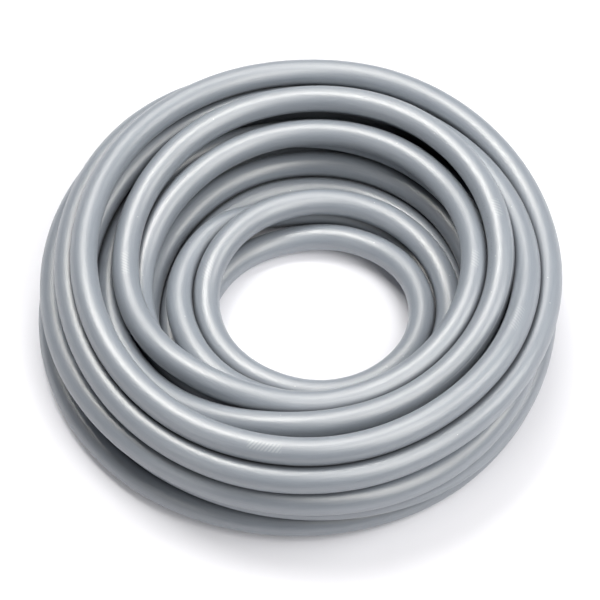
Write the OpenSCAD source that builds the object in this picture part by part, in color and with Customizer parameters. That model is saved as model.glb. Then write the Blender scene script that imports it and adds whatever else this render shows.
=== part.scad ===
// A long, plain, smooth-walled drain hose, wound by hand into one thick,
// loose coil that lies flat. The wound turns are one closed ring whose
// section follows the heap of turns: a steep side wall outside, a rounded
// crown, and a slope down to an off-centre hole. The two bare cut ends leave
// it as straight tubes, one along the back and one inside the hole.
// Millimetres, +Z up, the floor at Z = 0, the origin under the middle.

/* [Hose] */
// Outside diameter of the hose
hose_od = 25; // [22:0.5:26]
// Thickness of the hose wall
hose_wall = 3; // [1.5:0.25:4]

/* [Coil] */
// Outside diameter of the wound coil
coil_od = 496; // [480:2:520]
// Height of the coil at its crown
coil_h = 123; // [116:1:130]
// Height of the outer shoulder, where the side wall rolls over the top
outer_h = 90; // [76:1:100]
// Radius of the crown's outer edge
crown_out = 216; // [200:1:224]

/* [Hole] */
// Clear diameter of the hole at its narrowest
hole_d = 168; // [150:2:180]
// How far the hole sits to the right of the coil's middle
hole_x = 8; // [0:1:16]
// How far the hole sits in front of the coil's middle
hole_y = 15; // [0:1:24]
// Height of the inner shoulder, where the turns start to climb
inner_h = 50; // [40:1:70]
// Radius of the crown's inner edge, about the hole's own centre
crown_in = 184; // [160:1:190]

/* [Ends] */
// Length of the straight stretch at the outer cut end
outer_end_l = 84; // [60:1:100]
// How far the outer end stands out past the coil
outer_end_proud = 10; // [8:1:11]
// Length of the straight stretch at the inner cut end
inner_end_l = 64; // [40:1:70]
// How far the inner end stands into the hole
inner_end_proud = 6; // [4:1:10]
// Room around each end where it lies against the turns
end_gap = 0.25; // [0.1:0.05:0.5]

/* [Hidden] */
$fn = 96;

r = hose_od / 2;
bore_r = r - hose_wall;
// steps that round each corner of the section
steps = 5;
// centre of the coil: the outer end makes the object deeper at the back
coil_y = -outer_end_proud / 2;
// centre of the hole
hx = hole_x;
hy = coil_y - hole_y;
// lanes of the two straight ends
outer_y = coil_y + coil_od / 2 + outer_end_proud - r;
inner_y = hy - hole_d / 2 + inner_end_proud - r;

// points along an arc about c, from angle a to angle b
function arc(c, rad, a, b) = [
    for (s = [0:steps])
        c + rad * [cos(a + (b - a) * s / steps), sin(a + (b - a) * s / steps)]
];
// angle that is square to the line from a to b, on its left
function left_of(a, b) = atan2(b[1] - a[1], b[0] - a[0]) + 90;

// centres of the hose at the corners of the section
foot = [coil_od / 2 - r, r];
shoulder = [coil_od / 2 - r, outer_h - r];
crown_o = [crown_out, coil_h - r];
step_in = [hole_d / 2 + r, inner_h - r];
crown_i = [crown_in, coil_h - r];
roll = left_of(crown_o, shoulder);
climb = left_of(step_in, crown_i);

// the coil without its hole: foot, side wall and rounded shoulder
module drum() {
    rotate_extrude()
        polygon(concat(
            [[0, 0]],
            arc(foot, r, -90, 0),
            arc(shoulder, r, 0, roll),
            arc(crown_o, r, roll, 90),
            [[0, coil_h]]));
}

// the hole, its inner shoulder and the slope up to the crown
module funnel() {
    rotate_extrude()
        polygon(concat(
            [[0, -1], [hole_d / 2, -1]],
            arc(step_in, r, 180, climb),
            arc(crown_i, r, climb, 100),
            [[crown_in + 4, coil_h + 1], [0, coil_h + 1]]));
}

// a straight length of hose along +X, its start at the origin
module hose_length(l) {
    rotate([0, 90, 0])
        difference() {
            cylinder(h = l, r = r);
            translate([0, 0, -1]) cylinder(h = l + 2, r = bore_r);
        }
}

// the lane that a straight length lies in
module lane(l) {
    rotate([0, 90, 0]) cylinder(h = l, r = r + end_gap);
}

// the wound turns as one closed ring
module hose_coil() {
    color([0.60, 0.64, 0.67])
        difference() {
            translate([0, coil_y, 0]) drum();
            translate([hx, hy, 0]) funnel();
            translate([0, outer_y, r]) lane(outer_end_l + 40);
            translate([hx - inner_end_l, inner_y, r]) lane(inner_end_l + 48);
        }
}

// the outer cut end, straight, lying on the floor along the coil's back
module outer_end() {
    color([0.64, 0.68, 0.71])
        translate([0, outer_y, r]) hose_length(outer_end_l);
}

// the inner cut end, straight, lying on the floor inside the hole
module inner_end() {
    color([0.56, 0.60, 0.63])
        translate([hx - inner_end_l, inner_y, r]) hose_length(inner_end_l);
}

hose_coil();
outer_end();
inner_end();
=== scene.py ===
import bpy, math
import numpy as np
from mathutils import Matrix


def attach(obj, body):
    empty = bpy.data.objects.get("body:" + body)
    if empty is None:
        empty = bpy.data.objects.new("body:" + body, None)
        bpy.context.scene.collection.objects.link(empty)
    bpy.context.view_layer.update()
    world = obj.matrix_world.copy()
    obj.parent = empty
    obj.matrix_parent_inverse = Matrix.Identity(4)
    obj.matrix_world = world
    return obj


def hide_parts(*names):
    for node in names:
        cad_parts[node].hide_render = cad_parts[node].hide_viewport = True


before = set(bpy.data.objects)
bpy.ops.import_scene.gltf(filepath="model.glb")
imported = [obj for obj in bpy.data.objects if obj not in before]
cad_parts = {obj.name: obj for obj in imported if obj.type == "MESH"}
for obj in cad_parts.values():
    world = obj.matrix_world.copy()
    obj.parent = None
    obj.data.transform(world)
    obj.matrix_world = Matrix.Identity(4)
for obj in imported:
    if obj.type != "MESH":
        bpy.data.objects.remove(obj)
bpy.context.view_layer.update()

MM = 0.001

# ------------------------------------------------------------------ camera
ELEV = math.radians(57.0)          # height of the view above the floor
AIM = (0.00275, 0.0105, 0.0)       # the point that the view is centred on
FAR = 2.300                        # from that point to the camera
LENS = 144.6                       # mm, on a 36 mm sensor

cam_data = bpy.data.cameras.new("camera")
cam_data.sensor_fit = "HORIZONTAL"
cam_data.sensor_width = 36.0
cam_data.lens = LENS
cam_data.clip_start = 0.05
cam_data.clip_end = 20.0
cam = bpy.data.objects.new("camera", cam_data)
cam.location = (AIM[0], AIM[1] - FAR * math.cos(ELEV), AIM[2] + FAR * math.sin(ELEV))
cam.rotation_euler = (math.pi / 2 - ELEV, 0.0, 0.0)
bpy.context.collection.objects.link(cam)
bpy.context.scene.camera = cam

# ------------------------------------------------------------------ the hose's route
OD = 25.0                          # mm, outside
BORE = 19.0                        # mm, inside
CX, CY = 10.25, -12.0              # the winding's axis, mm
STEP = 15.0                        # degrees between the rows of ROUTE
FIRST = 90.0                       # winding angle of the first one
# Radius from the axis and height of the hose's middle, in mm, every 15 degrees of winding,
# clockwise from above, from the inner cut end to the outer one.
# ROUTE-BEGIN
ROUTE = """
97.8/12.5 101.3/12.5 104.4/12.5 106.1/12.5 106.1/12.5 104.4/12.5 101.3/12.5 97/12.5 92.5/12.5 89/12.5 86/12.5 84.5/13 84.5/15 86.5/18 89/20.5 93/23 97.5/27 102.5/30.5
106.5/33 109.5/35 110.5/36 109.5/36 108/36 106/36.5 103.5/37 100.5/37.5 98.5/37 97/36 96.5/35 96/35.5 96/38 96/41.5 96.5/44 97.5/45.5 99.5/45.5 102/45 106/44 110.5/42.5 115.5/40.5 120.5/39 125/37.5 129/36.5
132/36 134/37.5 135/40.5 133.5/43.5 131/47 128/50 125/50.5 123/49 121.5/46 121/44 120.5/42.5 120.5/41 121/39.5 120.5/37.5 120/35 119/32.5 114.5/26.5 111.5/22 111/19.5 113.5/18 117.5/15.5 120.5/14 121/13 121/12.5
120.5/12.5 120.5/12.5 120.5/12.5 121.5/12.5 123.5/12.5 126.5/12.5 130/12.5 133/12.5 134.5/12.5 135/12.5 133.5/12.5 131.5/12.5 130/12.5 129.5/12.5 131/12.5 134/12.5 137.5/13 141/13 143/12.5 145/12.5 145.5/12.5 146/12.5 146/12.5 146/12.5
146/12.5 146/13 146/14.5 146.5/17.5 146.5/22.5 146.5/29.5 147/37.5 147.5/45 148.5/50.5 150.5/52.5 153/51.5 155/50.5 157/51 158/55 159/61 160.5/65.5 162.5/69.5 164.5/72.5 166/75 167/76.5 167/77.5 165/78.5 161.5/81.5 157.5/85
153/87.5 149/86.5 145/83 141.5/79 138.5/75.5 137/73.5 137.5/73.5 139.5/76.5 143.5/79.5 149.5/80.5 156.5/77.5 163/74 168.5/73 174/74.5 179.5/78 184.5/83 188/88 189.5/92.5 190.5/96 190.5/99 189.5/101.5 187/102.5 184/102 180.5/100
177/96.5 173/92.5 169/89 165.5/85.5 163/83 161.5/81.5 162/80 164.5/76 169/68 174.5/60 179.5/54.5 183.5/53 186.5/53.5 188.5/54 188.5/55 187.5/55 185/54.5 182/53.5 179.5/53.5 177.5/53.5 176/54 174/55 172.5/56 171/57.5
170/58.5 169.5/59.5 170/60 171/59.5 172.5/57.5 174/54 174/49 173/43 169.5/37 165/32 160/27.5 155/25.5 152/25 150.5/25.5 152/26 155/26.5 159/26.5 162.5/26 164.5/26 165/27.5 164.5/29.5 163.5/31.5 162/33 161/34.5
161/35.5 161.5/36 163.5/36 166/35 169.5/33 172.5/29 175.5/24 178.5/18.5 180/14 180.5/12.5 180.5/12.5 179.5/12.5 179/12.5 179/12.5 179.5/12.5 181/12.5 183/12.5 184.5/12.5 185.5/12.5 185/12.5 183/12.5 180/12.5 176.5/12.5 173/12.5
171/12.5 171/12.5 173.5/12.5 178/12.5 184.5/12.5 191.5/12.5 198/12.5 203.5/12.5 208/12.5 211/12.5 213/12.5 214/12.5 214/12.5 213.5/12.5 213/12.5 212/12.5 211.5/12.5 211.5/12.5 211/12.5 210/12.5 208/12.5 205/12.5 201.5/12.5 198.5/13.5
196/16 195/20.5 195/25.5 195.5/30.5 196/34.5 197/37 197/37.5 197/36.5 197/35 197/33 196.5/31.5 196.5/31 196.5/30.5 196.5/30.5 196.5/31 197/32 197.5/33 197.5/33.5 197.5/34 197/34.5 195.5/34.5 193.5/34.5 191.5/35.5 190.5/37
190.5/40.5 191.5/45 193.5/50.5 195.5/55.5 198/59.5 199.5/61.5 201/62 202.5/61.5 204/59.5 205.5/57.5 207.5/56.5 209/57 210.5/60 211/65.5 210/71 209.5/74.5 208.5/74.5 208/74 207.5/74 207/74.5 206/76 205/78 203.5/81 202/85.5
201/91.5 200/99 200.5/106 201.5/110 203/111 204.5/110 205.5/109.5 205.5/109 205.5/108 204.5/108 203.5/108.5 203.5/109.5 205/109 207.5/107.5 211.5/105 216.5/101 221.5/96 226/91.5 229.5/87.5 232/86 232.5/83.5 231/80 228.5/76.5 225/76
222/79 220/84 219/89 219/92 220/92.5 222/92 223/91.5 223/90.5 221.5/89 220/88 219/88.5 219/89 221/89.5 224.5/89 229/86.5 233.5/82.5 236.5/76 236.5/68.5 233.5/62 227.5/57.5 220.5/55 213.5/54 208.5/55 206.5/56.5
207.5/58.5 211.5/60.5 217.5/61.5 224/62 228.5/62.5 231/65 231/67 230.5/66.5 230/65 230.5/63 232/61 234.5/59 237/57 240.5/54.5 244/51.5 247.5/48 250.5/45 252/43.5 251.5/43.5 249/44.5 243.5/45 237/44 230/42 224.5/39.5
221/38 220.5/37 222.5/37 224.5/36.5 225.5/38 224.5/41 223/43 222/43.5 221/41 221.5/38.5 222/36.5 223/35.5 224/35.5 225.5/34.5 227/33 228/31.5 229.5/30 230.5/28.5 231/27.5 231/26.5 230/24 228.5/20.5 226/17 223.5/14.5
220.5/13 218.5/12.5 218/12.5 219/12.5 221/13.5 223/16 226/18.5 229/18.5 232.5/17 236/14.5 238.5/13 240.5/12.5 242/12.5 243/12.5 244/12.5 245.5/12.5 247/12.5 250/12.5 254/12.5 259/12.5
"""
# ROUTE-END
INNER_Y, INNER_X = -110.5, (8.0, -6.0)       # the inner end's straight lane on the floor
OUTER_Y, OUTER_X = 240.5, (0.0, 84.0)        # the outer end's


def spline(xs, ys, xq):
    """Natural cubic spline through evenly spaced xs, at xq."""
    n = len(xs)
    h = xs[1] - xs[0]
    rhs = np.zeros(n)
    rhs[1:-1] = 6.0 * (ys[2:] - 2.0 * ys[1:-1] + ys[:-2]) / h ** 2
    cp = np.zeros(n)
    dp = np.zeros(n)
    for i in range(1, n - 1):
        m = 4.0 - cp[i - 1]
        cp[i] = 1.0 / m
        dp[i] = (rhs[i] - dp[i - 1]) / m
    m2 = np.zeros(n)
    for i in range(n - 2, 0, -1):
        m2[i] = dp[i] - cp[i] * m2[i + 1]
    k = np.clip(((xq - xs[0]) / h).astype(int), 0, n - 2)
    a = (xs[k + 1] - xq) / h
    b = 1.0 - a
    return a * ys[k] + b * ys[k + 1] + ((a ** 3 - a) * m2[k] + (b ** 3 - b) * m2[k + 1]) * h * h / 6.0


def centreline():
    rows = np.array([[float(v) for v in w.split("/")] for w in ROUTE.split()])
    t = FIRST + STEP * np.arange(len(rows))
    tq = np.arange(t[0], t[-1] + 1e-6, 1.0)
    r, z = spline(t, rows[:, 0], tq), spline(t, rows[:, 1], tq)
    a = np.radians(tq)
    p = np.stack([CX + r * np.cos(a), CY - r * np.sin(a), z], -1)
    # both cut ends lie straight on the floor
    start = (tq < FIRST + 45) & (p[:, 0] > INNER_X[1] + 6)
    p = p[~start]
    head = np.array([[x, INNER_Y, OD / 2] for x in np.arange(INNER_X[0], INNER_X[1] - 0.1, -8.0)])
    tq = tq[~start]
    stop = (tq > tq[-1] - 40) & (p[:, 0] > OUTER_X[0] - 6)
    p = p[~stop]
    tail = np.array([[x, OUTER_Y, OD / 2] for x in np.arange(OUTER_X[0], OUTER_X[1] + 0.1, 7.0)])
    p = np.concatenate([head, p, tail])
    p[:, 2] = np.maximum(p[:, 2], OD / 2)
    return p


def resample(p, step):
    s = np.r_[0.0, np.cumsum(np.linalg.norm(np.diff(p, axis=0), axis=1))]
    n = int(round(s[-1] / step)) + 1
    q = np.linspace(0.0, s[-1], n)
    return np.stack([np.interp(q, s, p[:, i]) for i in range(3)], -1)


def soften(p, rounds, keep=12):
    for _ in range(rounds):
        q = p.copy()
        q[1:-1] = 0.5 * p[1:-1] + 0.25 * (p[:-2] + p[2:])
        q[:keep], q[-keep:] = p[:keep], p[-keep:]
        p = q
    return p


line = soften(resample(centreline(), 6.0), 6)
line = resample(line, 6.0)
LENGTH = float(np.linalg.norm(np.diff(line, axis=0), axis=1).sum())
print("hose length m", round(LENGTH / 1000, 3), "points", len(line))


def closest(p, d):
    """The nearest approach of the hose to another part of itself, in mm."""
    s = np.arange(len(p)) * 6.0
    low, where = 1e9, None
    for i in range(0, len(p), 2):
        j = np.arange(i + int(4 * d / 6.0), len(p))
        if not len(j):
            break
        g = np.linalg.norm(p[j] - p[i], axis=1)
        k = int(g.argmin())
        if g[k] < low:
            low, where = float(g[k]), (i, int(j[k]))
    return low, where


print("closest approach mm", closest(line, OD))

# ------------------------------------------------------------------ the hose's skin
SIDES = 36


def tube(p):
    t = np.gradient(p, axis=0)
    t /= np.linalg.norm(t, axis=1)[:, None]
    up = np.array([0.0, 0.0, 1.0])
    side = np.cross(up, t)
    side /= np.linalg.norm(side, axis=1)[:, None]      # away from the coil's axis
    if ((p[len(p) // 2, :2] - (CX, CY)) * side[len(p) // 2, :2]).sum() < 0:
        side = -side
    top = np.cross(t, side)
    top *= np.sign(top[:, 2])[:, None]
    s = np.r_[0.0, np.cumsum(np.linalg.norm(np.diff(p, axis=0), axis=1))]
    ang = 2 * np.pi * np.arange(SIDES) / SIDES         # 0 on top, 90 degrees outwards
    verts, around = [], []

    def ring(i, r):
        c = p[i][None] + r * (np.cos(ang)[:, None] * top[i][None] + np.sin(ang)[:, None] * side[i][None])
        verts.append(c)
        around.append(np.stack([np.cos(ang), np.sin(ang), np.full(SIDES, s[i])], -1))
        return len(verts) - 1

    n = len(p)
    deep = min(30, n // 3)                             # how far the bore is made, in rings
    order = []
    for i in range(deep, -1, -1):
        order.append(ring(i, BORE / 2))
    order.append(ring(0, OD / 2 - 0.4))
    first_outer = len(order)
    for i in range(n):
        if i == 0:
            p0 = p[0].copy()
            p[0] = p0 + t[0] * 0.4
            order.append(ring(0, OD / 2))
            p[0] = p0
        elif i == n - 1:
            p0 = p[-1].copy()
            p[-1] = p0 - t[-1] * 0.4
            order.append(ring(n - 1, OD / 2))
            p[-1] = p0
        else:
            order.append(ring(i, OD / 2))
    order.append(ring(n - 1, OD / 2 - 0.4))
    for i in range(n - 1, n - 2 - deep, -1):
        order.append(ring(i, BORE / 2))
    v = np.concatenate(verts)
    av = np.concatenate(around)
    faces = []
    k = np.arange(SIDES)
    for a, b in zip(order[:-1], order[1:]):
        f = np.stack([a * SIDES + k, a * SIDES + (k + 1) % SIDES, b * SIDES + (k + 1) % SIDES, b * SIDES + k], -1)
        faces.append(f)
    f = np.concatenate(faces)
    return v, av, f, order


verts, around, faces, order = tube(resample(line, 7.0))
mesh = bpy.data.meshes.new("hose")
end_a = [int(i) for i in order[0] * SIDES + np.arange(SIDES)]
end_b = [int(i) for i in order[-1] * SIDES + np.arange(SIDES)]
mesh.from_pydata([tuple(x) for x in (verts * MM)], [], [tuple(int(i) for i in q) for q in faces] + [tuple(end_a[::-1]), tuple(end_b)])
mesh.validate()
mesh.update()
at = mesh.attributes.new("lie", "FLOAT_VECTOR", "POINT")
at.data.foreach_set("vector", around.astype(np.float32).ravel())


def seams(v, p, reach):
    """1 where another turn touches the skin, falling to 0 where it is reach mm away."""
    from mathutils.kdtree import KDTree
    fine = resample(p, 2.0)
    tree = KDTree(len(fine))
    for i, c in enumerate(fine):
        tree.insert(c, i)
    tree.balance()
    s_of = np.linspace(0.0, LENGTH, len(fine))
    depth = np.zeros(len(v))
    for i, c in enumerate(v):
        gap = reach
        for _, j, d in tree.find_range(c, OD / 2 + reach):
            if d - OD / 2 < gap and abs(s_of[j] - around[i, 2]) > 60.0:
                gap = d - OD / 2
        depth[i] = 1.0 - max(gap, 0.0) / reach
    return depth * depth * (3.0 - 2.0 * depth)


# the seam attribute drives the shade that the material paints into the colour between touching turns
at = mesh.attributes.new("seam", "FLOAT", "POINT")
at.data.foreach_set("value", seams(verts, line, 6.0).astype(np.float32))
import bmesh
bm = bmesh.new()
bm.from_mesh(mesh)
bmesh.ops.recalc_face_normals(bm, faces=bm.faces)
bm.to_mesh(mesh)
bm.free()
mesh.shade_smooth()
hose = bpy.data.objects.new("hose", mesh)
bpy.context.collection.objects.link(hose)

# ------------------------------------------------------------------ materials
TONE_A = (0.203, 0.229, 0.268)
TONE_B = (0.224, 0.252, 0.292)
TONE_C = (0.245, 0.275, 0.316)
ROUGH = 0.41
GLOSS = 1.0
# middle and half length in mm along the hose, middle and half width in radians round it, strength
RIPPLES = (
    (12132.0, 12.0, 0.40, 0.22, 1.0),
    (3705.0, 7.0, 0.00, 0.20, 0.7),
    (4700.0, 7.0, 0.10, 0.20, 0.7),
    (11851.0, 12.0, 0.00, 0.22, 0.5),
    (4180.0, 10.0, 0.00, 0.20, 0.7),
    (2461.0, 8.0, 1.20, 0.30, 0.5),
    (799.0, 8.0, 0.10, 0.26, 0.4),
)

def nodes_of(name):
    m = bpy.data.materials.new(name)
    m.use_nodes = True
    nt = m.node_tree
    nt.nodes.clear()
    return m, nt


def put(nt, kind, **kw):
    n = nt.nodes.new(kind)
    for k, v in kw.items():
        setattr(n, k, v)
    return n


pvc, nt = nodes_of("hose_pvc")
out = put(nt, "ShaderNodeOutputMaterial")
bsdf = put(nt, "ShaderNodeBsdfPrincipled")
nt.links.new(bsdf.outputs["BSDF"], out.inputs["Surface"])


def calc(op, a, b=None, c=None, clamp=False):
    """One math node; every argument is a number or a socket."""
    n = put(nt, "ShaderNodeMath", operation=op, use_clamp=clamp)
    for i, v in enumerate((a, b, c)):
        if v is None:
            continue
        if isinstance(v, (int, float)):
            n.inputs[i].default_value = float(v)
        else:
            nt.links.new(v, n.inputs[i])
    return n.outputs[0]


def band(x, mid, half, soft):
    """1 where x is within half of mid, falling to 0 over soft."""
    n = put(nt, "ShaderNodeMapRange", interpolation_type="SMOOTHSTEP")
    nt.links.new(calc("ABSOLUTE", calc("SUBTRACT", x, mid)), n.inputs["Value"])
    n.inputs["From Min"].default_value = half + soft
    n.inputs["From Max"].default_value = half
    n.inputs["To Min"].default_value = 0.0
    n.inputs["To Max"].default_value = 1.0
    return n.outputs["Result"]


def scaled(vec, by):
    n = put(nt, "ShaderNodeVectorMath", operation="MULTIPLY")
    n.inputs[1].default_value = by
    nt.links.new(vec, n.inputs[0])
    return n.outputs["Vector"]


def noise(vec, scale, detail):
    n = put(nt, "ShaderNodeTexNoise")
    n.inputs["Scale"].default_value = scale
    n.inputs["Detail"].default_value = detail
    nt.links.new(vec, n.inputs["Vector"])
    return n.outputs["Fac"]


def ramp(fac, *stops):
    n = put(nt, "ShaderNodeValToRGB")
    while len(n.color_ramp.elements) < len(stops):
        n.color_ramp.elements.new(0.5)
    for e, (at_, col) in zip(n.color_ramp.elements, stops):
        e.position = at_
        e.color = (*col, 1.0)
    nt.links.new(fac, n.inputs["Fac"])
    return n.outputs["Color"]


def mix(fac, a, b):
    n = put(nt, "ShaderNodeMix", data_type="RGBA")
    for sock, v in ((n.inputs[0], fac), (n.inputs[6], a), (n.inputs[7], b)):
        if isinstance(v, (int, float)):
            sock.default_value = float(v)
        elif isinstance(v, tuple):
            sock.default_value = (*v, 1.0)
        else:
            nt.links.new(v, sock)
    return n.outputs[2]


# "lie" holds, at every point of the skin, (cos a, sin a, s): a is the angle round the hose, 0 on top
# and 90 degrees on the coil's outer side, and s the distance along it in mm
lie = put(nt, "ShaderNodeAttribute", attribute_name="lie").outputs["Vector"]
parts = put(nt, "ShaderNodeSeparateXYZ")
nt.links.new(lie, parts.inputs[0])
ANG = calc("ARCTAN2", parts.outputs[1], parts.outputs[0])
S = parts.outputs[2]

# slow clouds and long faint streaks in the colour
streak = noise(scaled(lie, (1.0, 1.0, 0.004)), 9.0, 5.0)
cloud = noise(scaled(lie, (0.6, 0.6, 0.012)), 1.6, 2.0)
base = mix(cloud, ramp(streak, (0.3, TONE_A), (0.7, TONE_B)), ramp(streak, (0.3, TONE_B), (0.7, TONE_C)))

# faint slanted ripple of a wound layer under the skin, in a few short stretches; its pale colour is a painted highlight
# where the layer catches the light
slant = calc("SINE", calc("MULTIPLY", calc("ADD", S, calc("MULTIPLY", ANG, -8.0)), 2 * math.pi / 3.2))
ripple_and_glint = None
for mid, half, a_mid, a_half, power in RIPPLES:
    w = calc("MULTIPLY", calc("MULTIPLY", band(S, mid, half, 4.0), band(ANG, a_mid, a_half, 0.16)), power)
    ripple_and_glint = w if ripple_and_glint is None else calc("ADD", ripple_and_glint, w)
ripple_and_glint = calc("MULTIPLY", ripple_and_glint, calc("MULTIPLY_ADD", slant, 0.5, 0.5))
# painted highlight: the ripple's stripes are painted pale into the colour
base = mix(calc("MULTIPLY", ripple_and_glint, 0.24, clamp=True), base, (0.70, 0.72, 0.73))

# a thin pale mould line and a row of small dark dots along one stretch
seam = calc("MULTIPLY", band(S, 4795.0, 70.0, 40.0), band(ANG, 0.95, 0.02, 0.05))
base = mix(calc("MULTIPLY", seam, 0.22), base, (0.80, 0.82, 0.83))
dots = calc("GREATER_THAN", noise(scaled(lie, (0.0, 0.0, 0.55)), 1.0, 1.0), 0.56)
dots = calc("MULTIPLY", calc("MULTIPLY", dots, band(ANG, -0.84, 0.03, 0.04)), band(S, 4720.0, 60.0, 20.0))
base = mix(calc("MULTIPLY", dots, 0.35), base, (0.10, 0.11, 0.13))

# a few pale specks of dust
vor = put(nt, "ShaderNodeTexVoronoi")
vor.inputs["Scale"].default_value = 1.0
nt.links.new(scaled(lie, (0.9, 0.9, 0.072)), vor.inputs["Vector"])
rare = put(nt, "ShaderNodeSeparateColor")
nt.links.new(vor.outputs["Color"], rare.inputs[0])
speck = calc("MULTIPLY", calc("LESS_THAN", vor.outputs["Distance"], 0.034), calc("GREATER_THAN", rare.outputs[0], 0.72))
base = mix(calc("MULTIPLY", speck, 0.45), base, (0.85, 0.86, 0.86))
# painted shade: the colour darkens towards near-black where two turns touch, standing in for the shade in the crevices
# between them
painted_contact_shade = put(nt, "ShaderNodeAttribute", attribute_name="seam").outputs["Fac"]
base = mix(calc("MULTIPLY", painted_contact_shade, 0.72), base, (0.030, 0.033, 0.042))
nt.links.new(base, bsdf.inputs["Base Color"])

# fine scuffs along the hose break the gloss up
scuff = noise(scaled(lie, (1.0, 1.0, 0.012)), 16.0, 4.0)
rough = put(nt, "ShaderNodeMapRange")
nt.links.new(scuff, rough.inputs["Value"])
rough.inputs["From Min"].default_value = 0.3
rough.inputs["From Max"].default_value = 0.7
rough.inputs["To Min"].default_value = ROUGH - 0.05
rough.inputs["To Max"].default_value = ROUGH + 0.05
nt.links.new(rough.outputs["Result"], bsdf.inputs["Roughness"])
bump = put(nt, "ShaderNodeBump")
bump.inputs["Strength"].default_value = 0.5
bump.inputs["Distance"].default_value = 0.0006
nt.links.new(calc("ADD", calc("MULTIPLY", scuff, 0.6), calc("MULTIPLY", ripple_and_glint, 0.08)), bump.inputs["Height"])
nt.links.new(bump.outputs["Normal"], bsdf.inputs["Normal"])
bsdf.inputs["IOR"].default_value = 1.56
bsdf.inputs["Specular IOR Level"].default_value = GLOSS
bsdf.inputs["Specular Tint"].default_value = (1.0, 0.975, 0.94, 1)
bsdf.inputs["Sheen Weight"].default_value = 0.08
bsdf.inputs["Sheen Roughness"].default_value = 0.3
bsdf.inputs["Coat Weight"].default_value = 0.15
bsdf.inputs["Coat Roughness"].default_value = 0.12
hose.data.materials.append(pvc)

floor_mat, nt = nodes_of("floor_white")
out = put(nt, "ShaderNodeOutputMaterial")
bsdf = put(nt, "ShaderNodeBsdfPrincipled")
nt.links.new(bsdf.outputs["BSDF"], out.inputs["Surface"])
bsdf.inputs["Base Color"].default_value = (0.672, 0.678, 0.720, 1)
bsdf.inputs["Roughness"].default_value = 0.7
bsdf.inputs["Specular IOR Level"].default_value = 0.2
bsdf.inputs["Emission Color"].default_value = (0.985, 0.975, 1.0, 1)
# painted light: the pale floor glows a little to lift its shadows round the coil and inside the hole, standing in for
# light bounced from the room; none under the coil; far out it brightens into a pale backdrop
pos = put(nt, "ShaderNodeNewGeometry").outputs["Position"]
flat = put(nt, "ShaderNodeVectorMath", operation="DISTANCE")
flat.inputs[1].default_value = (CX * MM, CY * MM, 0.0)
nt.links.new(pos, flat.inputs[0])
painted_glow_out = put(nt, "ShaderNodeMapRange", interpolation_type="SMOOTHSTEP")
nt.links.new(flat.outputs["Value"], painted_glow_out.inputs["Value"])
painted_glow_out.inputs["From Min"].default_value = 0.200
painted_glow_out.inputs["From Max"].default_value = 0.255
painted_glow_out.inputs["To Min"].default_value = 0.0
painted_glow_out.inputs["To Max"].default_value = 0.17
# painted light inside the hole as well
hole = put(nt, "ShaderNodeVectorMath", operation="DISTANCE")
hole.inputs[1].default_value = (0.008, -0.020, 0.0)
nt.links.new(pos, hole.inputs[0])
painted_glow_hole = put(nt, "ShaderNodeMapRange", interpolation_type="SMOOTHSTEP")
nt.links.new(hole.outputs["Value"], painted_glow_hole.inputs["Value"])
painted_glow_hole.inputs["From Min"].default_value = 0.078
painted_glow_hole.inputs["From Max"].default_value = 0.104
painted_glow_hole.inputs["To Min"].default_value = 0.14
painted_glow_hole.inputs["To Max"].default_value = 0.0
far = put(nt, "ShaderNodeMapRange", interpolation_type="SMOOTHSTEP")
nt.links.new(flat.outputs["Value"], far.inputs["Value"])
far.inputs["From Min"].default_value = 0.9
far.inputs["From Max"].default_value = 3.0
far.inputs["To Min"].default_value = 0.0
far.inputs["To Max"].default_value = 0.85
painted_glow_near = calc("ADD", painted_glow_out.outputs["Result"], painted_glow_hole.outputs["Result"])
nt.links.new(calc("ADD", painted_glow_near, far.outputs["Result"]), bsdf.inputs["Emission Strength"])

# ------------------------------------------------------------------ floor and light
fm = bpy.data.meshes.new("floor")
HALF = 12.0
fm.from_pydata([(-HALF, -HALF, 0), (HALF, -HALF, 0), (HALF, HALF, 0), (-HALF, HALF, 0)], [], [(0, 1, 2, 3)])
fm.update()
floor = bpy.data.objects.new("floor", fm)
bpy.context.collection.objects.link(floor)
fm.materials.append(floor_mat)


def area(name, size, loc, aim, power, size_y=None, color=(1, 1, 1)):
    from mathutils import Vector
    d = bpy.data.lights.new(name, "AREA")
    d.shape = "RECTANGLE"
    d.size = size
    d.size_y = size_y or size
    d.energy = power
    d.color = color
    o = bpy.data.objects.new(name, d)
    o.location = loc
    o.rotation_euler = (Vector(aim) - Vector(loc)).to_track_quat("-Z", "Y").to_euler()
    bpy.context.collection.objects.link(o)
    return o


def softbox(name, round_, up, size, power):
    """A square light 2 m from the middle of the coil: round_ degrees from +X, up degrees above the floor."""
    a, e = math.radians(round_), math.radians(up)
    loc = (2.0 * math.cos(e) * math.cos(a), 2.0 * math.cos(e) * math.sin(a), 2.0 * math.sin(e) + 0.05)
    return area(name, size, loc, (0.0, 0.0, 0.05), power * 1.10, color=(1.0, 0.982, 0.946))


softbox("key", 135.0, 66.0, 0.8, 23.0)
softbox("key_back", 90.0, 66.0, 0.8, 10.4)
softbox("back", 90.0, 40.0, 0.9, 7.4)
softbox("front_high", 315.0, 66.0, 0.8, 13.0)
softbox("front_low", 315.0, 40.0, 0.9, 10.5)
softbox("right", 0.0, 40.0, 0.9, 13.4)
softbox("left_fill", 225.0, 26.0, 0.8, 3.2)
softbox("top", 0.0, 90.0, 0.8, 3.0)
world = bpy.data.worlds.new("studio")
world.use_nodes = True
world.node_tree.nodes["Background"].inputs["Color"].default_value = (1.0, 1.0, 1.0, 1)
world.node_tree.nodes["Background"].inputs["Strength"].default_value = 0.02
bpy.context.scene.world = world
bpy.context.scene.view_settings.view_transform = "Standard"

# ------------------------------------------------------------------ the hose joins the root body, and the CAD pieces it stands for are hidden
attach(hose, "root")
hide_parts("hose_coil", "outer_end", "inner_end")
